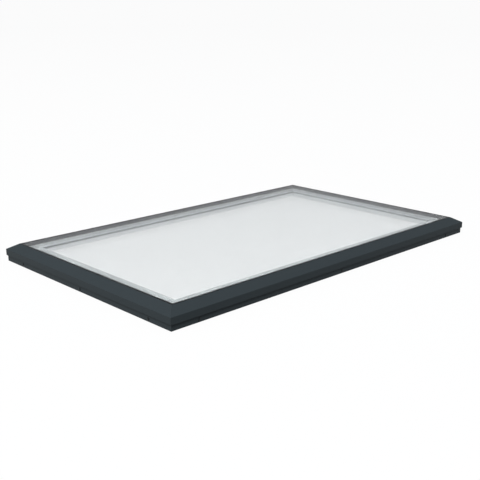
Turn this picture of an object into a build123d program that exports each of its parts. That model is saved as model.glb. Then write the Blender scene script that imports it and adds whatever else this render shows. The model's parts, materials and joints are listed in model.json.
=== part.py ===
from build123d import *
import math
import os

# Fixed flat-roof skylight. Millimetres, +Z up, origin under the middle of the frame, X along the long side.
# Sections are drawn with u, the distance in from the outer face of the cover cap, and z, the height.

# Overall size
LENGTH = 2080.0
WIDTH = 1280.0
HEIGHT = 88.5

# Cover cap: vertical face, bevel up to the glass, and the clips under it
BEVEL_RUN = 49.0
BEVEL_DROP = 28.0
CAP_BOTTOM = 29.0
CAP_WALL = 2.2
CAP_LIP = 4.9
BEVEL_EDGE_RADIUS = 1.2
NOSE_RADIUS = 0.6
NOSE_LEG_BOTTOM = 70.5
CLIP_LEG_INNER = 22.0
CLIP_LEG_WALL = 2.0
CLIP_LEG_LIFT = 1.6
KEY_RIB_INNER = 27.6
KEY_RIB_WALL = 1.6
KEY_TOE = 1.2
BARB = 1.6
CLIP_PLAY = 0.3

# Base frame: hollow skirt, shoulder, upstands for the clips, and the flange over the kerb
SKIRT_INSET = 5.5
SKIRT_DEPTH = 30.0
BASE_WALL = 2.2
SKIRT_EDGE_RADIUS = 1.0
FIXING_CHAMBER_TOP = 24.0
SEAT = 50.0
FLANGE_WALL = 2.4
FLANGE_END = 100.0
SHOULDER = 58.0
OUTER_UPSTAND = 15.5
OUTER_UPSTAND_TOP = 66.0
UPSTAND_WALL = 2.0
INNER_UPSTAND = 42.3
INNER_UPSTAND_TOP = 79.5
CATCH = 1.7
INNER_CATCH_HEIGHT = 2.5
OUTER_CATCH_HEIGHT = 2.0

# Sealed unit, from the top down
OUTER_PANE = 6.0
CAVITY = 16.0
INNER_PANE = 4.0
PANE_CORNER = 2.0
PANE_ARRIS = 0.5
GLASS_JOINT = 2.5
EDGE_SEALANT = 4.5
SPACER_DEPTH = 7.0
SPACER_WALL = 0.8
SPACER_KEY_LEG = 30.0
SPACER_KEY_PLAY = 0.15

# Seat of the glass and the light inner frame
TAPE = 1.5
TAPE_WIDTH = 10.0
TAPE_SETBACK = 0.5
INNER_FRAME_START = 44.8
INNER_FRAME_PLAY = 0.5
INNER_FRAME_REACH = 79.5
INNER_FRAME_WALL = 1.8
INNER_FRAME_RIBS = 2
INNER_FRAME_EDGE_RADIUS = 1.0
PACKER_LENGTH = 80.0
PACKER_HEIGHT = 8.0
PACKER_FROM_CORNER = 260.0

# Weather seal between the cap and the edge of the glass
WEATHER_SEAL_DEPTH = 9.0
WEATHER_SEAL_DIP = 0.5

# Kerb seal under the flange
KERB_SEAL = 5.0
KERB_SEAL_START = 44.0
KERB_SEAL_WIDTH = 50.0

# Fixing holes through the skirt and the domed caps in them
FIXING_HEIGHT = 12.0
FIXING_FROM_END = 150.0
FIXING_HOLE = 5.5
ACCESS_HOLE = 13.0
DOME_DIAMETER = 17.5
DOME_RISE = 3.0
PLUG_DIAMETER = 12.6
PLUG_LEG = 2.4
PLUG_LENGTH = 7.0

# Corner cleats
BASE_CLEAT_LEG = 90.0
BASE_CLEAT_PLAY = 0.2
BASE_CLEAT_WALL = 4.0
BASE_CLEAT_ARRIS = 0.8
CAP_KEY_LEG = 70.0
CAP_KEY_HEIGHT = 9.0
CAP_KEY_PLAY = 0.2

# How far a saw, drill or hollow runs past the face that it leaves by
OVERRUN = 1.0

# Heights and insets that follow from these
GLASS_EDGE = BEVEL_RUN + GLASS_JOINT
CAVITY_TOP = HEIGHT - OUTER_PANE
CAVITY_FLOOR = CAVITY_TOP - CAVITY
UNIT_BOTTOM = CAVITY_FLOOR - INNER_PANE
LEDGE = UNIT_BOTTOM - TAPE
SPACER_START = GLASS_EDGE + EDGE_SEALANT
SPACER_END = SPACER_START + SPACER_DEPTH
INNER_EDGE = BEVEL_RUN + INNER_FRAME_REACH
TAPE_START = GLASS_EDGE + TAPE_SETBACK
SKIRT_BACK = SKIRT_INSET + SKIRT_DEPTH
SLOPE = BEVEL_DROP / BEVEL_RUN
BEVEL_WALL_Z = CAP_WALL * math.hypot(1, SLOPE)


class Side:
    """One side of the frame: where its outer corner is, which way it runs and which way is inwards."""

    def __init__(self, name, corner, run, inward, length):
        self.name = name
        self.corner = Vector(*corner)
        self.run = Vector(*run)
        self.inward = Vector(*inward)
        self.length = length

    def plane(self, along=0.0):
        """Section plane across the side, with local x inwards and local y up."""
        return Plane(self.corner + self.run * along, x_dir=self.inward, z_dir=self.run)

    def plan(self, z):
        """Level plane at a height, with local x inwards and local y against the run."""
        return Plane(self.corner + Vector(0, 0, z), x_dir=self.inward, z_dir=(0, 0, 1))


SIDES = [
    Side("front", (-LENGTH / 2, -WIDTH / 2, 0), (1, 0, 0), (0, 1, 0), LENGTH),
    Side("right", (LENGTH / 2, -WIDTH / 2, 0), (0, 1, 0), (-1, 0, 0), WIDTH),
    Side("back", (LENGTH / 2, WIDTH / 2, 0), (-1, 0, 0), (0, -1, 0), LENGTH),
    Side("left", (-LENGTH / 2, WIDTH / 2, 0), (0, -1, 0), (1, 0, 0), WIDTH),
]


def save(shape, node):
    shape.label = node
    export_step(shape, f"parts/{node}.step")


def face_of(points):
    return make_face(Polyline(*points, close=True))


def box_face(u0, z0, u1, z1):
    return Pos((u0 + u1) / 2, (z0 + z1) / 2) * Rectangle(u1 - u0, z1 - z0)


def rounded(section, radius, *corners):
    """Rounds the section's corners that lie at the given points."""
    picked = [v for v in section.vertices() for u, z in corners if math.dist((v.X, v.Y), (u, z)) < 0.01]
    return fillet(picked, radius)


def square_cut(section, side, trim):
    """Length of a section along a side, sawn square, with both ends trimmed back from the corners."""
    return extrude(side.plane(trim) * section, side.length - 2 * trim)


def mitred(section, side):
    """Length of a section along a side, with both ends sawn at 45 degrees for the corners."""
    whole = square_cut(section, side, 0)
    depth = section.bounding_box().max.X + OVERRUN
    saw_line = [(0, 0), (0, -side.length), (depth, depth - side.length), (depth, -depth)]
    between_saws = extrude(side.plan(-OVERRUN) * face_of(saw_line), HEIGHT + 2 * OVERRUN)
    return (whole & between_saws).solid()


def bevel_underside(u):
    return HEIGHT - BEVEL_DROP + SLOPE * u - BEVEL_WALL_Z


# Section of the cover cap, with two barbed clip legs, a foot that stands on the base and a slot for corner keys
def cap_section():
    bevel_start = HEIGHT - BEVEL_DROP
    nose_inner = BEVEL_RUN - CAP_WALL
    nose_barb_top = INNER_UPSTAND_TOP - INNER_CATCH_HEIGHT - CLIP_PLAY
    clip_outer = CLIP_LEG_INNER - CLIP_LEG_WALL
    clip_barb_top = OUTER_UPSTAND_TOP - OUTER_CATCH_HEIGHT - CLIP_PLAY
    clip_bottom = SHOULDER + CLIP_LEG_LIFT
    key_rib_outer = KEY_RIB_INNER - KEY_RIB_WALL
    section = face_of([
        (0, CAP_BOTTOM),
        (0, bevel_start),
        (BEVEL_RUN, HEIGHT),
        (BEVEL_RUN, NOSE_LEG_BOTTOM),
        (nose_inner, NOSE_LEG_BOTTOM),
        (nose_inner - BARB, nose_barb_top - BARB),
        (nose_inner - BARB, nose_barb_top),
        (nose_inner, nose_barb_top),
        (nose_inner, bevel_underside(nose_inner)),
        (KEY_RIB_INNER, bevel_underside(KEY_RIB_INNER)),
        (KEY_RIB_INNER, SHOULDER),
        (key_rib_outer - KEY_TOE, SHOULDER),
        (key_rib_outer - KEY_TOE, SHOULDER + KEY_TOE),
        (key_rib_outer, SHOULDER + KEY_TOE),
        (key_rib_outer, bevel_underside(key_rib_outer)),
        (CLIP_LEG_INNER, bevel_underside(CLIP_LEG_INNER)),
        (CLIP_LEG_INNER, clip_bottom),
        (clip_outer, clip_bottom),
        (clip_outer - BARB, clip_barb_top - BARB),
        (clip_outer - BARB, clip_barb_top),
        (clip_outer, clip_barb_top),
        (clip_outer, bevel_underside(clip_outer)),
        (CAP_WALL, bevel_underside(CAP_WALL)),
        (CAP_WALL, CAP_BOTTOM + CAP_WALL),
        (CAP_LIP, CAP_BOTTOM + CAP_WALL),
        (CAP_LIP, CAP_BOTTOM),
    ])
    section = rounded(section, BEVEL_EDGE_RADIUS, (0, bevel_start))
    return rounded(section, NOSE_RADIUS, (BEVEL_RUN, HEIGHT), (0, CAP_BOTTOM))


# Section of the base frame: skirt with a fixing chamber and a cleat chamber, flange, and catches for the cap
def base_section():
    flange_top = SEAT + FLANGE_WALL
    inner_face = INNER_UPSTAND + BASE_WALL
    outer_face = OUTER_UPSTAND + UPSTAND_WALL
    inner_catch = INNER_UPSTAND_TOP - INNER_CATCH_HEIGHT
    outer_catch = OUTER_UPSTAND_TOP - OUTER_CATCH_HEIGHT
    section = face_of([
        (SKIRT_INSET, 0),
        (SKIRT_BACK, 0),
        (SKIRT_BACK, SEAT),
        (FLANGE_END, SEAT),
        (FLANGE_END, flange_top),
        (inner_face, flange_top),
        (inner_face, inner_catch),
        (inner_face + CATCH, inner_catch),
        (inner_face, INNER_UPSTAND_TOP),
        (INNER_UPSTAND, INNER_UPSTAND_TOP),
        (INNER_UPSTAND, SHOULDER),
        (outer_face, SHOULDER),
        (outer_face, outer_catch),
        (outer_face + CATCH, outer_catch),
        (outer_face, OUTER_UPSTAND_TOP),
        (OUTER_UPSTAND, OUTER_UPSTAND_TOP),
        (OUTER_UPSTAND, SHOULDER),
        (SKIRT_INSET, SHOULDER),
    ])
    section = rounded(section, SKIRT_EDGE_RADIUS, (SKIRT_INSET, 0), (SKIRT_INSET, SHOULDER))
    inside = SKIRT_INSET + BASE_WALL
    back = SKIRT_BACK - BASE_WALL
    ceiling = SHOULDER - BASE_WALL
    section -= box_face(inside, BASE_WALL, back, FIXING_CHAMBER_TOP)
    section -= box_face(inside, FIXING_CHAMBER_TOP + BASE_WALL, back, ceiling)
    section -= box_face(SKIRT_BACK, flange_top, INNER_UPSTAND, ceiling)
    return section


# Section of the light inner frame, three chambers on the flange and a nose that hides the flange's edge
def inner_frame_section():
    floor = SEAT + FLANGE_WALL
    nose_start = FLANGE_END + INNER_FRAME_PLAY
    section = face_of([
        (INNER_FRAME_START, floor),
        (nose_start, floor),
        (nose_start, SEAT),
        (INNER_EDGE, SEAT),
        (INNER_EDGE, LEDGE),
        (INNER_FRAME_START, LEDGE),
    ])
    section = rounded(section, INNER_FRAME_EDGE_RADIUS, (INNER_EDGE, SEAT), (INNER_EDGE, LEDGE))
    wall = INNER_FRAME_WALL
    first = INNER_FRAME_START + wall
    last = nose_start
    pitch = (last - first + wall) / (INNER_FRAME_RIBS + 1)
    for index in range(INNER_FRAME_RIBS + 1):
        start = first + index * pitch
        section -= box_face(start, floor + wall, start + pitch - wall, LEDGE - wall)
    section -= box_face(last + wall, SEAT + wall, INNER_EDGE - wall, LEDGE - wall)
    return section


def spacer_section():
    wall = SPACER_WALL
    outside = box_face(SPACER_START, CAVITY_FLOOR, SPACER_END, CAVITY_TOP)
    return outside - box_face(SPACER_START + wall, CAVITY_FLOOR + wall, SPACER_END - wall, CAVITY_TOP - wall)


# Bead of sealant whose top is tooled to a shallow hollow between the cap and the glass
def weather_seal_section():
    top = HEIGHT - NOSE_RADIUS
    bottom = HEIGHT - WEATHER_SEAL_DEPTH
    hollow = ThreePointArc(
        (GLASS_EDGE, top), ((BEVEL_RUN + GLASS_EDGE) / 2, top - WEATHER_SEAL_DIP), (BEVEL_RUN, top)
    )
    sides = Polyline((BEVEL_RUN, top), (BEVEL_RUN, bottom), (GLASS_EDGE, bottom), (GLASS_EDGE, top))
    return make_face(hollow + sides)


def fixing_places(side):
    """Distances along a side of its three fixings."""
    return [FIXING_FROM_END, side.length / 2, side.length - FIXING_FROM_END]


def drilled(frame, side):
    """Base frame length with an access hole in the skirt's outer wall and a screw hole in its inner wall."""
    for along in fixing_places(side):
        point = side.corner + side.run * along + Vector(0, 0, FIXING_HEIGHT)
        across = Plane(point, z_dir=side.inward)
        screw_wall = across.offset(SKIRT_BACK - BASE_WALL - OVERRUN)
        frame -= extrude(across * Circle(ACCESS_HOLE / 2), SKIRT_INSET + BASE_WALL + OVERRUN)
        frame -= extrude(screw_wall * Circle(FIXING_HOLE / 2), BASE_WALL + 2 * OVERRUN)
    return frame.solid()


# Domed cap, turned about its own axis, which points out of the skirt, on a cross of two snap legs
def dome_cap():
    rim = DOME_DIAMETER / 2
    sphere = (rim ** 2 + DOME_RISE ** 2) / (2 * DOME_RISE)
    crown = RadiusArc((0, DOME_RISE), (rim, 0), sphere)
    dome = revolve(Plane.XZ * make_face(crown + Polyline((rim, 0), (0, 0), (0, DOME_RISE))), Axis.Z)
    cross = Rectangle(PLUG_DIAMETER, PLUG_LEG) + Rectangle(PLUG_LEG, PLUG_DIAMETER)
    return (dome + extrude(Plane.XY * cross, -PLUG_LENGTH)).solid()


def dome_caps():
    cap = dome_cap()
    placed = []
    for side in SIDES:
        for along in fixing_places(side):
            point = side.corner + side.run * along + side.inward * SKIRT_INSET + Vector(0, 0, FIXING_HEIGHT)
            placed.append(Plane(point, z_dir=side.inward * -1).location * cap)
    return Compound(children=placed)


def corner_angle(side, u0, u1, leg, z0, z1):
    """Right-angled piece at the corner where a side starts, between two insets, with legs along both sides."""
    plan = face_of([(u0, -u0), (leg, -u0), (leg, -u1), (u1, -u1), (u1, -leg), (u0, -leg)])
    return extrude(side.plan(z0) * plan, z1 - z0)


# Cast cleat that fills the cleat chamber round a corner, hollowed from below
def base_cleat(side):
    u0 = SKIRT_INSET + BASE_WALL
    u1 = SKIRT_BACK - BASE_WALL - BASE_CLEAT_PLAY
    z0 = FIXING_CHAMBER_TOP + BASE_WALL
    z1 = SHOULDER - BASE_WALL - BASE_CLEAT_PLAY
    wall = BASE_CLEAT_WALL
    body = corner_angle(side, u0, u1, BASE_CLEAT_LEG, z0, z1)
    levels = body.edges().group_by(Axis.Z)
    body = chamfer(levels[0] + levels[-1], BASE_CLEAT_ARRIS)
    hollow = corner_angle(side, u0 + wall, u1 - wall, BASE_CLEAT_LEG - wall, z0 - OVERRUN, z1 - wall)
    return (body - hollow).solid()


def cap_key(side):
    u0 = CLIP_LEG_INNER + CAP_KEY_PLAY
    u1 = KEY_RIB_INNER - KEY_RIB_WALL - CAP_KEY_PLAY
    z0 = SHOULDER + KEY_TOE
    return corner_angle(side, u0, u1, CAP_KEY_LEG, z0, z0 + CAP_KEY_HEIGHT)


# Corner block of the spacer with a leg pushed into each hollow bar
def spacer_key(side):
    plan = box_face(SPACER_START, -SPACER_END, SPACER_END, -SPACER_START)
    block = extrude(side.plan(CAVITY_FLOOR) * plan, CAVITY)
    play = SPACER_WALL + SPACER_KEY_PLAY
    legs = corner_angle(
        side, SPACER_START + play, SPACER_END - play, SPACER_END + SPACER_KEY_LEG,
        CAVITY_FLOOR + play, CAVITY_TOP - play,
    )
    return (block + legs).solid()


def unit_plan():
    """Outline of the sealed unit, with its sharp corners taken off."""
    outline = Rectangle(LENGTH - 2 * GLASS_EDGE, WIDTH - 2 * GLASS_EDGE)
    return chamfer(outline.vertices(), PANE_CORNER)


def pane(z0, thickness):
    glass = extrude(Pos(0, 0, z0) * unit_plan(), thickness)
    levels = glass.edges().group_by(Axis.Z)
    return chamfer(levels[0] + levels[-1], PANE_ARRIS)


def edge_sealant():
    inside = Rectangle(LENGTH - 2 * SPACER_START, WIDTH - 2 * SPACER_START)
    return extrude(Pos(0, 0, CAVITY_FLOOR) * (unit_plan() - inside), CAVITY)


def edge_packers():
    """Blocks between the base frame's inner upstand and the edge of the sealed unit, two on each side."""
    section = box_face(INNER_UPSTAND + BASE_WALL, LEDGE, GLASS_EDGE, LEDGE + PACKER_HEIGHT)
    blocks = []
    for side in SIDES:
        for along in (PACKER_FROM_CORNER, side.length - PACKER_FROM_CORNER - PACKER_LENGTH):
            blocks.append(extrude(side.plane(along) * section, PACKER_LENGTH))
    return Compound(children=blocks)


os.makedirs("parts", exist_ok=True)

cap = cap_section()
base = base_section()
inner_frame = inner_frame_section()
weather_seal = weather_seal_section()
spacer = spacer_section()
tape = box_face(TAPE_START, LEDGE, TAPE_START + TAPE_WIDTH, UNIT_BOTTOM)
kerb_seal = box_face(KERB_SEAL_START, SEAT - KERB_SEAL, KERB_SEAL_START + KERB_SEAL_WIDTH, SEAT)

for side in SIDES:
    save(mitred(cap, side), f"cover_cap_{side.name}")
    save(drilled(mitred(base, side), side), f"base_frame_{side.name}")
    save(mitred(inner_frame, side), f"inner_frame_{side.name}")
    save(mitred(weather_seal, side), f"weather_seal_{side.name}")
    save(mitred(tape, side), f"glazing_tape_{side.name}")
    save(mitred(kerb_seal, side), f"kerb_seal_{side.name}")
    save(square_cut(spacer, side, SPACER_END), f"spacer_bar_{side.name}")

save(pane(CAVITY_TOP, OUTER_PANE), "outer_pane")
save(pane(UNIT_BOTTOM, INNER_PANE), "inner_pane")
save(edge_sealant(), "edge_sealant")
save(Compound(children=[spacer_key(side) for side in SIDES]), "spacer_corner_keys")
save(Compound(children=[base_cleat(side) for side in SIDES]), "base_corner_cleats")
save(Compound(children=[cap_key(side) for side in SIDES]), "cap_corner_keys")
save(edge_packers(), "edge_packers")
save(dome_caps(), "fixing_hole_caps")
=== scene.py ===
"""Looks of a fixed flat-roof skylight: finishes, grooved inner frame, a plain studio and the camera."""

import json
import logging
import math
from dataclasses import dataclass, field, replace
from enum import Enum
from typing import Any, Optional

import bmesh
import bpy
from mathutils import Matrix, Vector
from mathutils.geometry import tessellate_polygon


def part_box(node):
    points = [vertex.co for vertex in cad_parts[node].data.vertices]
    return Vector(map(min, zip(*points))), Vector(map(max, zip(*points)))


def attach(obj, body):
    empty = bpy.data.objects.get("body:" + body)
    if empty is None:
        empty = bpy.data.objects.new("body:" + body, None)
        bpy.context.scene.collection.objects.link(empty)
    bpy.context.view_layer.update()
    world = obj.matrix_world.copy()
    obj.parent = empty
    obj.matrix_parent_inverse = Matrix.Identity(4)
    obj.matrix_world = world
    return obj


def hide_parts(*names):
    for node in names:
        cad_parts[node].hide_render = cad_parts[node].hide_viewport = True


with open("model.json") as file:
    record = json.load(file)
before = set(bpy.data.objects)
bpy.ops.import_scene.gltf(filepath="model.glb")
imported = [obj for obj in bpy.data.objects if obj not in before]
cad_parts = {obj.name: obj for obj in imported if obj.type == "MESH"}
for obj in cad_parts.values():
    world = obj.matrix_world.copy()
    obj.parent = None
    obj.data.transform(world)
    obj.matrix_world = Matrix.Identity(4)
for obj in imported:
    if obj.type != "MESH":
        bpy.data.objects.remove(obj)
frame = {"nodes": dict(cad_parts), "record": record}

LOG = logging.getLogger("skylight")
MM = 0.001

# Faces round the floor's edge, and steps of the curve in which it rises
FLOOR_SEGMENTS = 96
SWEEP_STEPS = 12

# Turn between two faces from which the edge between them is sharp
SHARP_ANGLE = math.radians(35)

# How far outside the stated recess, or a groove, a face still counts as one of its walls
RECESS_SLACK_MM = 2.0
GROOVE_SLACK_MM = 0.05

# Scale along the run that draws noise out into die lines
DIE_LINE_SHARE = 0.01

# Levels of finer noise in the soft patches and in the fine unevenness
PATCH_DETAIL = 3.0
RELIEF_DETAIL = 2.0

# Dark of the hairlines at the mitres
HAIRLINE_COLOUR = "#060606"

# Socket numbers of the colour mix node, whose socket names repeat
MIX_FACTOR, MIX_FIRST, MIX_SECOND, MIX_RESULT = 0, 6, 7, 2

Point = tuple[float, float, float]
Flat = tuple[float, float]
Key = str | int
Socket = bpy.types.NodeSocket
Tree = bpy.types.NodeTree


def linear(colour: str, share: float = 1.0) -> tuple[float, float, float, float]:
    """Turns an sRGB hex colour into the linear colour that a shader takes.

    Args:
        colour: The colour as six hex digits after a hash sign.
        share: What the linear colour is multiplied by.

    Returns:
        Red, green, blue and an alpha of 1.
    """
    parts = [int(colour[i:i + 2], 16) / 255 for i in (1, 3, 5)]
    red, green, blue = [share * (p / 12.92 if p <= 0.04045 else ((p + 0.055) / 1.055) ** 2.4) for p in parts]
    return red, green, blue, 1.0


def add_node(
    tree: Tree,
    kind: str,
    values: Optional[dict[Key, Any]] = None,
    links: Optional[dict[Key, Socket]] = None,
    **settings: Any,
) -> bpy.types.Node:
    """Adds one node with its settings, its fixed values and the links that come into it.

    Args:
        tree: The node tree that gets the node.
        kind: Blender's name for the type of node.
        values: Fixed values, by the name or number of the socket.
        links: Output sockets that feed this node, by the name or number of its own socket.
        settings: Properties of the node itself.

    Returns:
        The new node.
    """
    node = tree.nodes.new(kind)
    for name, value in settings.items():
        setattr(node, name, value)
    for socket, value in (values or {}).items():
        node.inputs[socket].default_value = value
    for socket, source in (links or {}).items():
        tree.links.new(source, node.inputs[socket])
    return node


def empty_tree(made: bpy.types.Material | bpy.types.World) -> Tree:
    """Clears the node tree of a material or world.

    Args:
        made: The material or world.

    Returns:
        Its tree, with no node left.
    """
    made.use_nodes = True
    made.node_tree.nodes.clear()
    return made.node_tree


class Run(Enum):
    """Way that a length of the frame runs, which its die lines follow."""

    ALONG_X = "along_x"
    ALONG_Y = "along_y"
    NONE = "plain"

    def stretch(self, share: float) -> Point:
        """Scale of a pattern's coordinates that draws it out along the run.

        Args:
            share: Scale along the run, where 1 draws nothing out.

        Returns:
            The scale on each axis.
        """
        along_x = share if self is Run.ALONG_X else 1.0
        along_y = share if self is Run.ALONG_Y else 1.0
        return along_x, along_y, 1.0


SIDES: dict[str, Run] = {
    "front": Run.ALONG_X,
    "right": Run.ALONG_Y,
    "back": Run.ALONG_X,
    "left": Run.ALONG_Y,
}

# Level direction from each side towards the middle of the skylight
INWARD: dict[str, tuple[int, int]] = {
    "front": (0, 1),
    "right": (-1, 0),
    "back": (0, -1),
    "left": (1, 0),
}


class Relief(Enum):
    """Form of a surface's fine unevenness."""

    PEEL = "orange peel of a baked or moulded skin"
    DIE_LINES = "lines that a die leaves along an extrusion"
    CELLS = "cells of a foam"


@dataclass(frozen=True)
class Opaque:
    """Finish of a piece that light doesn't pass.

    Attributes:
        name: What the material is and how its surface was made.
        colour: Its own colour.
        roughness: How far it scatters a highlight.
        ior: Its index of refraction, which a metal leaves at the default.
        metallic: 1 for bare metal.
        shine: Strength of its mirror share, where 0.5 is plain.
        relief: Form of its fine unevenness.
        relief_mm: Distance from one bump or line to the next.
        relief_height_mm: How far the bumps or lines stand out, more than on the real piece so that they show.
        patch_mm: Size of the soft patches in which colour and gloss drift.
        colour_drift: How far the colour drifts, as a share of it.
        gloss_drift: How far the roughness drifts.
        joint_mm: Width of the dark hairline at the mitres, or 0 for none.
        bare_colour: Colour of the metal on the side towards the kerb, where that is left bare.
        groove_shade_colour: Dark colour painted inside a groove as painted shade, or nothing for a piece
            without one.
        groove_mm: Heights between which the groove lies.
    """

    name: str
    colour: str
    roughness: float
    ior: float = 1.5
    metallic: float = 0.0
    shine: float = 0.5
    relief: Relief = Relief.PEEL
    relief_mm: float = 2.0
    relief_height_mm: float = 0.02
    patch_mm: float = 80.0
    colour_drift: float = 0.04
    gloss_drift: float = 0.04
    joint_mm: float = 0.0
    bare_colour: str = ""
    groove_shade_colour: str = ""
    groove_mm: tuple[float, float] = (0.0, 0.0)

    def material(self, run: Run = Run.NONE) -> bpy.types.Material:
        """Makes the material, with its patterns drawn out along a run.

        Args:
            run: The way that the piece runs.

        Returns:
            The new material.
        """
        made = bpy.data.materials.new(f"{self.name}_{run.value}")
        tree = empty_tree(made)
        place = add_node(tree, "ShaderNodeTexCoord").outputs["Object"]
        patches = add_node(
            tree, "ShaderNodeTexNoise",
            {"Scale": 1 / (self.patch_mm * MM), "Detail": PATCH_DETAIL}, {"Vector": place},
        ).outputs["Fac"]
        darker = linear(self.colour, 1 - self.colour_drift)
        lighter = linear(self.colour, 1 + self.colour_drift)
        colour = add_node(
            tree, "ShaderNodeMix",
            {MIX_FIRST: darker, MIX_SECOND: lighter}, {MIX_FACTOR: patches}, data_type="RGBA",
        ).outputs[MIX_RESULT]
        if self.joint_mm:
            colour = self.mitre_hairline(tree, place, colour)
        # Painted shade: a dark colour inside the groove, where shade falls
        if self.groove_shade_colour:
            colour = self.paint_groove_shade(tree, place, colour)
        bare = self.kerb_side(tree, place) if self.bare_colour else None
        if bare:
            colour = add_node(
                tree, "ShaderNodeMix", {MIX_SECOND: linear(self.bare_colour)},
                {MIX_FACTOR: bare, MIX_FIRST: colour}, data_type="RGBA",
            ).outputs[MIX_RESULT]
        gloss = add_node(
            tree, "ShaderNodeMapRange",
            {"To Min": self.roughness - self.gloss_drift, "To Max": self.roughness + self.gloss_drift},
            {"Value": patches},
        ).outputs["Result"]
        bump = add_node(
            tree, "ShaderNodeBump", {"Distance": self.relief_height_mm * MM},
            {"Height": self.height(tree, place, run)},
        ).outputs["Normal"]
        skin = add_node(
            tree, "ShaderNodeBsdfPrincipled",
            {"Metallic": self.metallic, "IOR": self.ior, "Specular IOR Level": self.shine},
            {"Base Color": colour, "Roughness": gloss, "Normal": bump} | ({"Metallic": bare} if bare else {}),
        )
        add_node(tree, "ShaderNodeOutputMaterial", links={"Surface": skin.outputs["BSDF"]})
        return made

    def height(self, tree: Tree, place: Socket, run: Run) -> Socket:
        """Height of the fine unevenness, from 0 to 1.

        Args:
            tree: The material's node tree.
            place: Coordinates in the object's own frame, in metres.
            run: The way that the piece runs.

        Returns:
            The socket that gives the height.
        """
        scale = 1 / (self.relief_mm * MM)
        if self.relief is Relief.CELLS:
            cells = add_node(tree, "ShaderNodeTexVoronoi", {"Scale": scale}, {"Vector": place})
            return cells.outputs["Distance"]
        drawn_out = run.stretch(DIE_LINE_SHARE if self.relief is Relief.DIE_LINES else 1.0)
        mapped = add_node(tree, "ShaderNodeMapping", {"Scale": drawn_out}, {"Vector": place})
        noise = add_node(
            tree, "ShaderNodeTexNoise",
            {"Scale": scale, "Detail": RELIEF_DETAIL}, {"Vector": mapped.outputs["Vector"]},
        )
        return noise.outputs["Fac"]

    def kerb_side(self, tree: Tree, place: Socket) -> Socket:
        """1 on the faces that turn to the kerb, which are those that bound the recess for it.

        Args:
            tree: The material's node tree.
            place: Coordinates in the object's own frame, in metres.

        Returns:
            The socket that gives 1 there and 0 elsewhere.
        """
        recess = next(o for o in frame["record"]["physics"]["openings"] if o["name"] == "kerb_recess")
        reach = recess["box_m"][1]
        split = add_node(tree, "ShaderNodeSeparateXYZ", links={"Vector": place})
        inside = None
        for axis, half in zip("XYZ", reach):
            across = add_node(tree, "ShaderNodeMath", links={0: split.outputs[axis]}, operation="ABSOLUTE")
            near = add_node(
                tree, "ShaderNodeMath",
                {1: half + RECESS_SLACK_MM * MM}, {0: across.outputs[0]}, operation="LESS_THAN",
            ).outputs[0]
            if inside:
                both = add_node(tree, "ShaderNodeMath", links={0: inside, 1: near}, operation="MULTIPLY")
                near = both.outputs[0]
            inside = near
        return inside

    def paint_groove_shade(self, tree: Tree, place: Socket, colour: Socket) -> Socket:
        """Paints shade on the inside of a level groove, as a dark colour.

        Args:
            tree: The material's node tree.
            place: Coordinates in the object's own frame, in metres.
            colour: The colour outside the groove.

        Returns:
            The socket that gives the colour with the groove's painted shade.
        """
        low, high = self.groove_mm
        height = add_node(tree, "ShaderNodeSeparateXYZ", links={"Vector": place}).outputs["Z"]
        inside = add_node(
            tree, "ShaderNodeMath",
            {1: (low + high) / 2 * MM, 2: ((high - low) / 2 + GROOVE_SLACK_MM) * MM}, {0: height},
            operation="COMPARE",
        ).outputs[0]
        return add_node(
            tree, "ShaderNodeMix", {MIX_SECOND: linear(self.groove_shade_colour)},
            {MIX_FACTOR: inside, MIX_FIRST: colour}, data_type="RGBA",
        ).outputs[MIX_RESULT]

    def mitre_hairline(self, tree: Tree, place: Socket, colour: Socket) -> Socket:
        """Darkens the colour along the 45 degree planes where two lengths of the frame meet.

        Args:
            tree: The material's node tree.
            place: Coordinates in the object's own frame, in metres.
            colour: The colour away from the mitres.

        Returns:
            The socket that gives the colour with its hairlines.
        """
        low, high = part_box("cover_cap_front")
        half_length, half_width = high.x, -low.y
        split = add_node(tree, "ShaderNodeSeparateXYZ", links={"Vector": place})
        across_x = add_node(tree, "ShaderNodeMath", links={0: split.outputs["X"]}, operation="ABSOLUTE")
        across_y = add_node(tree, "ShaderNodeMath", links={0: split.outputs["Y"]}, operation="ABSOLUTE")
        apart = add_node(
            tree, "ShaderNodeMath",
            links={0: across_x.outputs[0], 1: across_y.outputs[0]}, operation="SUBTRACT",
        )
        near = add_node(
            tree, "ShaderNodeMath",
            {1: half_length - half_width, 2: self.joint_mm * MM / math.sqrt(2)},
            {0: apart.outputs[0]}, operation="COMPARE",
        )
        return add_node(
            tree, "ShaderNodeMix", {MIX_SECOND: linear(HAIRLINE_COLOUR)},
            {MIX_FACTOR: near.outputs[0], MIX_FIRST: colour}, data_type="RGBA",
        ).outputs[MIX_RESULT]


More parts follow.
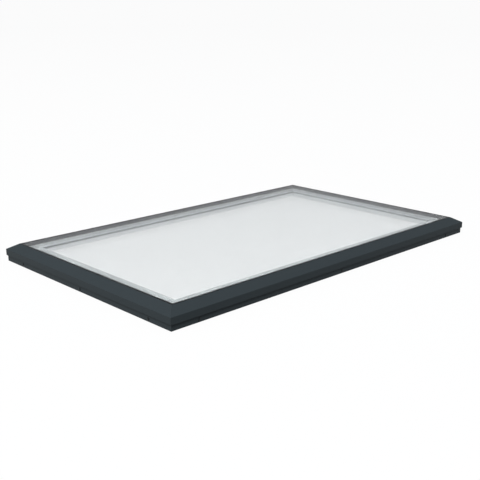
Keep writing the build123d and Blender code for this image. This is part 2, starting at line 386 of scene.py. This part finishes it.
@dataclass(frozen=True)
class Glass:
    """Finish of a pane that light passes.

    Attributes:
        name: What the glass is and how it was made.
        tint: Colour that light takes at each of its faces.
        ior: Its index of refraction.
        calm: Share of its mirror image that is held back, a given value and not from a known coating.
        roughness: How far it scatters light.
    """

    name: str
    tint: str
    ior: float = 1.52
    calm: float = 0.35
    roughness: float = 0.0

    def material(self) -> bpy.types.Material:
        """Makes the material, which lets the lamps through to what lies under the pane.

        Returns:
            The new material.
        """
        made = bpy.data.materials.new(self.name)
        tree = empty_tree(made)
        tint = linear(self.tint)
        rays = add_node(tree, "ShaderNodeLightPath")
        skin = add_node(
            tree, "ShaderNodeBsdfPrincipled",
            {"Base Color": tint, "Roughness": self.roughness, "IOR": self.ior, "Transmission Weight": 1.0},
        )
        passed = add_node(
            tree, "ShaderNodeBsdfRefraction", {"Color": tint, "Roughness": self.roughness, "IOR": self.ior}
        )
        calmed = add_node(
            tree, "ShaderNodeMixShader", {0: self.calm}, {1: skin.outputs["BSDF"], 2: passed.outputs["BSDF"]}
        )
        clear = add_node(tree, "ShaderNodeBsdfTransparent", {"Color": tint})
        both = add_node(
            tree, "ShaderNodeMixShader",
            links={0: rays.outputs["Is Shadow Ray"], 1: calmed.outputs["Shader"], 2: clear.outputs["BSDF"]},
        )
        add_node(tree, "ShaderNodeOutputMaterial", links={"Surface": both.outputs["Shader"]})
        return made


@dataclass(frozen=True)
class Palette:
    """The finishes of the skylight, each from what the real one is made of."""

    # Polyester powder coat, sprayed and baked: a dark blue grey with a soft satin sheen and faint orange peel
    frame_coat: Opaque = Opaque(
        name="powder_coated_aluminium", colour="#383F42", roughness=0.45, shine=0.05,
        relief_mm=2.5, relief_height_mm=0.03, colour_drift=0.05, joint_mm=0.3,
    )
    # The same coat on the base frame, whose side towards the kerb is taken to be bare, pale metal
    base_coat: Opaque = replace(frame_coat, name="powder_coated_aluminium_bare_inside", bare_colour="#E6E8E9")
    # Moulded nylon, through-coloured: darker than the coat, so that each cap shows as a small dark dot
    fixing_cap: Opaque = Opaque(
        name="moulded_nylon", colour="#1F2426", roughness=0.42, ior=1.53, shine=0.1,
        relief_mm=0.8, relief_height_mm=0.015,
    )
    # Extruded PVC-U: a light neutral grey, smooth, with die lines along it, and painted shade: a dark colour
    # inside a groove
    inner_pvcu: Opaque = Opaque(
        name="extruded_pvcu", colour="#A0A2A2", roughness=0.5, ior=1.53, shine=0.15,
        relief=Relief.DIE_LINES, relief_mm=1.2, relief_height_mm=0.02,
        colour_drift=0.015, joint_mm=0.5, groove_shade_colour="#1A1B1B",
    )
    # Extruded glass-filled composite: dull black, with lines along it
    spacer: Opaque = Opaque(
        name="extruded_composite_spacer", colour="#131414", roughness=0.6, ior=1.55,
        relief=Relief.DIE_LINES, relief_mm=0.8,
    )
    # Silicone, tooled smooth: black with a soft sheen
    sealant: Opaque = Opaque(
        name="tooled_silicone", colour="#101111", roughness=0.38, ior=1.43,
        relief_mm=6.0, relief_height_mm=0.05,
    )
    # Closed-cell foam tape: dark grey and quite matt, with cells drawn coarser than real so that they show
    glazing_tape: Opaque = Opaque(
        name="foamed_glazing_tape", colour="#3A3B3B", roughness=0.8, relief=Relief.CELLS, relief_mm=0.9,
    )
    # Cellular rubber: black and matt, with cut-open cells drawn coarser than real so that they show
    kerb_foam: Opaque = Opaque(
        name="cellular_epdm", colour="#1A1A1A", roughness=0.85,
        relief=Relief.CELLS, relief_mm=1.4, relief_height_mm=0.3,
    )
    # Cast and extruded aluminium, left as it comes: pale, dull metal
    cleat: Opaque = Opaque(
        name="mill_finish_aluminium", colour="#B4B6B8", roughness=0.4, metallic=1.0, relief_mm=1.5,
    )
    # Moulded polypropylene: near black and waxy
    packer: Opaque = Opaque(
        name="moulded_polypropylene", colour="#1C1D1E", roughness=0.5, ior=1.49, relief_mm=1.0,
    )
    # Float glass: clear and neutral, with a trace of green
    outer_glass: Glass = Glass("float_glass", "#FDFEFE")
    # Low-emissivity coated float glass: a little darker than plain glass
    inner_glass: Glass = Glass("coated_float_glass", "#FCFDFD")


def rectangle(left: float, low: float, right: float, high: float) -> list[Flat]:
    """Corners of an upright rectangle, in order."""
    return [(left, low), (right, low), (right, high), (left, high)]


def closed_mesh(name: str, points: list[Vector], faces: list[tuple[int, ...]]) -> bpy.types.Object:
    """Makes an object of closed faces that all look outwards, smooth only over its rounds.

    Args:
        name: The object's name.
        points: Its corners, in metres.
        faces: Its faces, as numbers of their corners.

    Returns:
        The new object, in the scene.
    """
    mesh = bpy.data.meshes.new(name)
    mesh.from_pydata(points, [], faces)
    shell = bmesh.new()
    shell.from_mesh(mesh)
    bmesh.ops.recalc_face_normals(shell, faces=shell.faces)
    shell.to_mesh(mesh)
    shell.free()
    mesh.shade_smooth()
    mesh.set_sharp_from_angle(angle=SHARP_ANGLE)
    piece = bpy.data.objects.new(name, mesh)
    bpy.context.scene.collection.objects.link(piece)
    return piece


def dress(node: str, material: bpy.types.Material) -> None:
    """Gives a CAD node its material.

    Args:
        node: The node's name.
        material: The material that covers it.
    """
    piece = frame["nodes"][node]
    piece.data.materials.clear()
    piece.data.materials.append(material)
    LOG.info("%s is dressed in %s", node, material.name)


@dataclass
class Frame:
    """Cover caps and base frame, each of four mitred lengths."""

    palette: Palette

    def build(self) -> None:
        """Dresses every length in its own material, made for the way it runs."""
        for side, run in SIDES.items():
            dress(f"cover_cap_{side}", self.palette.frame_coat.material(run))
            dress(f"base_frame_{side}", self.palette.base_coat.material(run))


@dataclass
class InnerFrame:
    """Light inner frame: four mitred hollow lengths with a groove for the lining in their nose, its inside
    painted dark as shade.

    The sizes are in millimetres, across a length from its outer edge and up from the nose's underside. Its
    width and height are those of the solid that it stands for.

    Attributes:
        palette: The finishes.
        wall: Thickness of the walls.
        ribs: Number of ribs that divide the hollow over the flange.
        nose_start: Where the nose steps down past the flange.
        step: Height of that step.
        groove: Height of the lining groove.
        groove_depth: Depth of the lining groove.
        fin: Thickness of the fin that covers the groove.
        edge_radius: Radius of the nose's two edges.
        edge_steps: Flats in each of those edges.
    """

    palette: Palette
    wall: float = 1.8
    ribs: int = 2
    nose_start: float = 55.7
    step: float = 2.4
    groove: float = 5.0
    groove_depth: float = 10.0
    fin: float = 1.2
    edge_radius: float = 0.6
    edge_steps: int = 5

    def build(self) -> None:
        """Makes the four lengths in place of the plain solids."""
        for side, run in SIDES.items():
            node = f"inner_frame_{side}"
            piece = self.length(side)
            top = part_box(node)[1].z / MM - self.fin
            finish = replace(self.palette.inner_pvcu, groove_mm=(top - self.groove, top))
            piece.data.materials.append(finish.material(run))
            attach(piece, "root")
            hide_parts(node)
            LOG.info("%s stands for %s", piece.name, node)

    def edge(self, across: float, up: float, start: float) -> list[Flat]:
        """Points of the quarter round about a centre, from a first direction in radians."""
        turns = [start + math.pi / 2 * step / self.edge_steps for step in range(self.edge_steps + 1)]
        return [(across + self.edge_radius * math.cos(t), up + self.edge_radius * math.sin(t)) for t in turns]

    def section(self, width: float, height: float) -> list[list[Flat]]:
        """Outline of the section, followed by its closed chambers.

        Args:
            width: Width of a length, from its outer edge to the nose.
            height: Height of the nose.

        Returns:
            One closed loop of points for the outline and one for each chamber.
        """
        top = height - self.wall
        under_fin = height - self.fin
        lip = under_fin - self.groove
        back = width - self.groove_depth
        low_edge = self.edge(width - self.edge_radius, self.edge_radius, -math.pi / 2)
        high_edge = self.edge(width - self.edge_radius, height - self.edge_radius, 0.0)
        outline = [
            (0.0, self.step), (self.nose_start, self.step), (self.nose_start, 0.0), *low_edge,
            (width, lip), (back, lip), (back, under_fin), (width, under_fin), *high_edge, (0.0, height),
        ]
        floor = self.step + self.wall
        pitch = self.nose_start / (self.ribs + 1)
        starts = [self.wall + pitch * index for index in range(self.ribs + 1)]
        chambers = [rectangle(start, floor, start + pitch - self.wall, top) for start in starts]
        nose_chamber = rectangle(self.nose_start + self.wall, self.wall, back - self.wall, top)
        return [outline, *chambers, nose_chamber]

    def length(self, side: str) -> bpy.types.Object:
        """Makes one length, with both ends sawn at 45 degrees.

        Args:
            side: Name of the side.

        Returns:
            The new object.
        """
        low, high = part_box(f"inner_frame_{side}")
        inward = Vector((*INWARD[side], 0.0))
        run = Vector((inward.y, -inward.x, 0.0))
        way = inward + run
        corner = Vector((low.x if way.x > 0 else high.x, low.y if way.y > 0 else high.y, low.z))
        size = high - low
        reach = abs(size.dot(run))
        loops = self.section(abs(size.dot(inward)) / MM, size.z / MM)
        points = [point for loop in loops for point in loop]
        near = [corner + way * across * MM + Vector((0, 0, up * MM)) for across, up in points]
        far = [place + run * (reach - 2 * across * MM) for place, (across, _) in zip(near, points)]
        faces = self.walls(loops, len(points)) + self.sawn_ends(loops, len(points))
        return closed_mesh(f"grooved_inner_frame_{side}", near + far, faces)

    def walls(self, loops: list[list[Flat]], count: int) -> list[tuple[int, ...]]:
        """Faces that run along a length, between its two ends.

        Args:
            loops: The closed loops of the section.
            count: Number of points at one end.

        Returns:
            The faces, as numbers of their corners.
        """
        faces = []
        first = 0
        for loop in loops:
            for index in range(len(loop)):
                here, there = first + index, first + (index + 1) % len(loop)
                faces.append((here, there, there + count, here + count))
            first += len(loop)
        return faces

    def sawn_ends(self, loops: list[list[Flat]], count: int) -> list[tuple[int, ...]]:
        """Faces of both sawn ends, which leave the chambers open.

        Args:
            loops: The closed loops of the section.
            count: Number of points at one end.

        Returns:
            The faces, as numbers of their corners.
        """
        flat = [[Vector((across, up, 0.0)) for across, up in loop] for loop in loops]
        faces = []
        for corners in tessellate_polygon(flat):
            faces.append(tuple(corners))
            faces.append(tuple(index + count for index in corners))
        return faces


@dataclass
class SealedUnit:
    """Two panes held apart by a black spacer and closed round the edge by a sealant."""

    palette: Palette

    def build(self) -> None:
        """Dresses the panes, the spacer and the sealant round them."""
        dress("outer_pane", self.palette.outer_glass.material())
        dress("inner_pane", self.palette.inner_glass.material())
        for side, run in SIDES.items():
            dress(f"spacer_bar_{side}", self.palette.spacer.material(run))
        dress("spacer_corner_keys", self.palette.spacer.material())
        dress("edge_sealant", self.palette.sealant.material())


@dataclass
class Seals:
    """Weather seal round the glass, tape under it and foam on the kerb."""

    palette: Palette

    def build(self) -> None:
        """Dresses the strips, which share one material of each kind."""
        bead = self.palette.sealant.material()
        tape = self.palette.glazing_tape.material()
        foam = self.palette.kerb_foam.material()
        for side in SIDES:
            dress(f"weather_seal_{side}", bead)
            dress(f"glazing_tape_{side}", tape)
            dress(f"kerb_seal_{side}", foam)


@dataclass
class Fixings:
    """Domed caps over the screw holes, corner cleats and keys, and the packers round the glass."""

    palette: Palette

    def build(self) -> None:
        """Dresses the small fittings."""
        dress("fixing_hole_caps", self.palette.fixing_cap.material())
        cast = self.palette.cleat.material()
        dress("base_corner_cleats", cast)
        dress("cap_corner_keys", cast)
        dress("edge_packers", self.palette.packer.material())


@dataclass(frozen=True)
class Lamp:
    """Square soft box that faces a point.

    Attributes:
        name: What it does.
        place: Where it hangs, in metres.
        target: What it faces, in metres.
        size: Length of its sides, in metres.
        watts: Its power.
        colour: Its colour.
    """

    name: str
    place: Point
    target: Point
    size: float
    watts: float
    colour: str = "#FFFFFF"

    def build(self) -> None:
        """Hangs the lamp."""
        light = bpy.data.lights.new(self.name, "AREA")
        light.shape = "SQUARE"
        light.size = self.size
        light.energy = self.watts
        light.color = linear(self.colour)[:3]
        hung = bpy.data.objects.new(self.name, light)
        hung.location = self.place
        hung.rotation_euler = (Vector(self.target) - Vector(self.place)).to_track_quat("-Z", "Y").to_euler()
        bpy.context.scene.collection.objects.link(hung)


@dataclass
class Studio:
    """Plain pale floor that sweeps up into a low backdrop, a soft surround and one soft lamp.

    Attributes:
        floor_reach: Radius of the level floor, in metres.
        sweep: Radius of the curve that rises round the floor's edge, which is also the backdrop's height.
        floor_bounce: Colour of the floor for the light that it throws on the skylight.
        floor_board: Colour of the floor where it is seen, which takes the skylight's shadow.
        floor_white: Share of plain white in what is seen of the floor.
        horizon: Light of the surround at the horizon.
        zenith: Light of the surround overhead.
        lamps: The lamps.
    """

    floor_reach: float = 50.0
    sweep: float = 11.0
    floor_bounce: str = "#6E6E6E"
    floor_board: str = "#FAFAFA"
    floor_white: float = 0.94
    horizon: str = "#C4C5C7"
    zenith: str = "#A6ACB4"
    lamps: list[Lamp] = field(default_factory=lambda: [
        Lamp("key_soft_box", place=(-14.9, -8.0, 17.1), target=(0.0, 0.0, 0.0), size=4.8, watts=4230.0),
    ])

    def build(self) -> None:
        """Lays the floor, lights the surround and hangs the lamps."""
        self.lay_floor()
        self.light_surround()
        for lamp in self.lamps:
            lamp.build()
        bpy.context.scene.view_settings.view_transform = "Standard"

    def seen(self, tree: Tree) -> Socket:
        """1 for the rays that show the background: those from the camera, and in metal and glass.

        Args:
            tree: The material's node tree.

        Returns:
            The socket that gives 1 for those rays and 0 for the others.
        """
        rays = add_node(tree, "ShaderNodeLightPath")
        mirrored = add_node(
            tree, "ShaderNodeMath",
            links={0: rays.outputs["Is Glossy Ray"], 1: rays.outputs["Is Transmission Ray"]},
            operation="MAXIMUM",
        )
        shown = add_node(
            tree, "ShaderNodeMath",
            links={0: rays.outputs["Is Camera Ray"], 1: mirrored.outputs[0]}, operation="MAXIMUM",
        )
        return shown.outputs[0]

    def lay_floor(self) -> None:
        """Lays the floor and dresses it in its white board."""
        mesh = self.floor_mesh()
        mesh.materials.append(self.white_board())
        floor = bpy.data.objects.new("floor", mesh)
        bpy.context.scene.collection.objects.link(floor)

    def floor_mesh(self) -> bpy.types.Mesh:
        """Makes a round level floor that curves up all round its edge.

        Returns:
            The new mesh.
        """
        rise = [math.pi / 2 * step / SWEEP_STEPS for step in range(SWEEP_STEPS + 1)]
        rings = [(self.floor_reach + self.sweep * math.sin(a), self.sweep * (1 - math.cos(a))) for a in rise]
        turns = [math.tau * step / FLOOR_SEGMENTS for step in range(FLOOR_SEGMENTS)]
        points = [(r * math.cos(t), r * math.sin(t), z) for r, z in rings for t in turns]
        faces = [tuple(range(FLOOR_SEGMENTS))]
        for ring in range(SWEEP_STEPS):
            for here in range(FLOOR_SEGMENTS):
                there = (here + 1) % FLOOR_SEGMENTS
                low, high = ring * FLOOR_SEGMENTS, (ring + 1) * FLOOR_SEGMENTS
                faces.append((low + here, high + here, high + there, low + there))
        mesh = bpy.data.meshes.new("floor")
        mesh.from_pydata(points, [], faces)
        mesh.shade_smooth()
        return mesh

    def white_board(self) -> bpy.types.Material:
        """Makes a matt board that looks white and keeps the skylight's shadow.

        Returns:
            The new material.
        """
        made = bpy.data.materials.new("matt_white_board")
        tree = empty_tree(made)
        seen = self.seen(tree)
        colour = add_node(
            tree, "ShaderNodeMix",
            {MIX_FIRST: linear(self.floor_bounce), MIX_SECOND: linear(self.floor_board)},
            {MIX_FACTOR: seen}, data_type="RGBA",
        )
        board = add_node(tree, "ShaderNodeBsdfDiffuse", links={"Color": colour.outputs[MIX_RESULT]})
        white = add_node(tree, "ShaderNodeEmission", {"Color": linear("#FFFFFF"), "Strength": 1.0})
        share = add_node(tree, "ShaderNodeMath", {1: self.floor_white}, {0: seen}, operation="MULTIPLY")
        both = add_node(
            tree, "ShaderNodeMixShader",
            links={0: share.outputs[0], 1: board.outputs["BSDF"], 2: white.outputs["Emission"]},
        )
        add_node(tree, "ShaderNodeOutputMaterial", links={"Surface": both.outputs["Shader"]})
        return made

    def light_surround(self) -> None:
        """Lights the surround evenly from horizon to zenith."""
        world = bpy.data.worlds.new("soft_surround")
        bpy.context.scene.world = world
        tree = empty_tree(world)
        way = add_node(tree, "ShaderNodeTexCoord").outputs["Generated"]
        rise = add_node(tree, "ShaderNodeSeparateXYZ", links={"Vector": way}).outputs["Z"]
        light = add_node(
            tree, "ShaderNodeMix", {MIX_FIRST: linear(self.horizon), MIX_SECOND: linear(self.zenith)},
            {MIX_FACTOR: rise}, data_type="RGBA",
        ).outputs[MIX_RESULT]
        soft = add_node(tree, "ShaderNodeBackground", {"Strength": 1.0}, {"Color": light})
        add_node(tree, "ShaderNodeOutputWorld", links={"Surface": soft.outputs["Background"]})


@dataclass
class Viewpoint:
    """Camera at the photograph's place.

    Attributes:
        place: Where the camera stands, in metres.
        heading: Level direction that it faces.
        pitch: Angle that it looks down by, in degrees.
        lens: Focal length in millimetres.
        sensor: Width of its sensor in millimetres.
        sight: How far it sees, which is past the backdrop, in metres.
    """

    place: Point = (-2.8366, -2.8885, 1.1935)
    heading: Flat = (0.6935, 0.7205)
    pitch: float = 16.02
    lens: float = 60.2
    sensor: float = 36.0
    sight: float = 200.0

    def build(self) -> None:
        """Sets the camera up."""
        data = bpy.data.cameras.new("camera")
        data.lens = self.lens
        data.sensor_width = self.sensor
        data.clip_end = self.sight
        camera = bpy.data.objects.new("camera", data)
        camera.location = self.place
        turn = math.atan2(-self.heading[0], self.heading[1])
        camera.rotation_euler = (math.radians(90.0 - self.pitch), 0.0, turn)
        bpy.context.scene.collection.objects.link(camera)
        bpy.context.scene.camera = camera


def main() -> None:
    """Dresses the skylight, then builds the studio and the camera."""
    logging.basicConfig(level=logging.INFO, format="%(name)s: %(message)s")
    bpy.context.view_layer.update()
    palette = Palette()
    pieces = (Frame(palette), InnerFrame(palette), SealedUnit(palette), Seals(palette), Fixings(palette))
    for part in (*pieces, Studio(), Viewpoint()):
        part.build()
        LOG.info("%s is done", type(part).__name__)


if __name__ == "__main__":
    main()
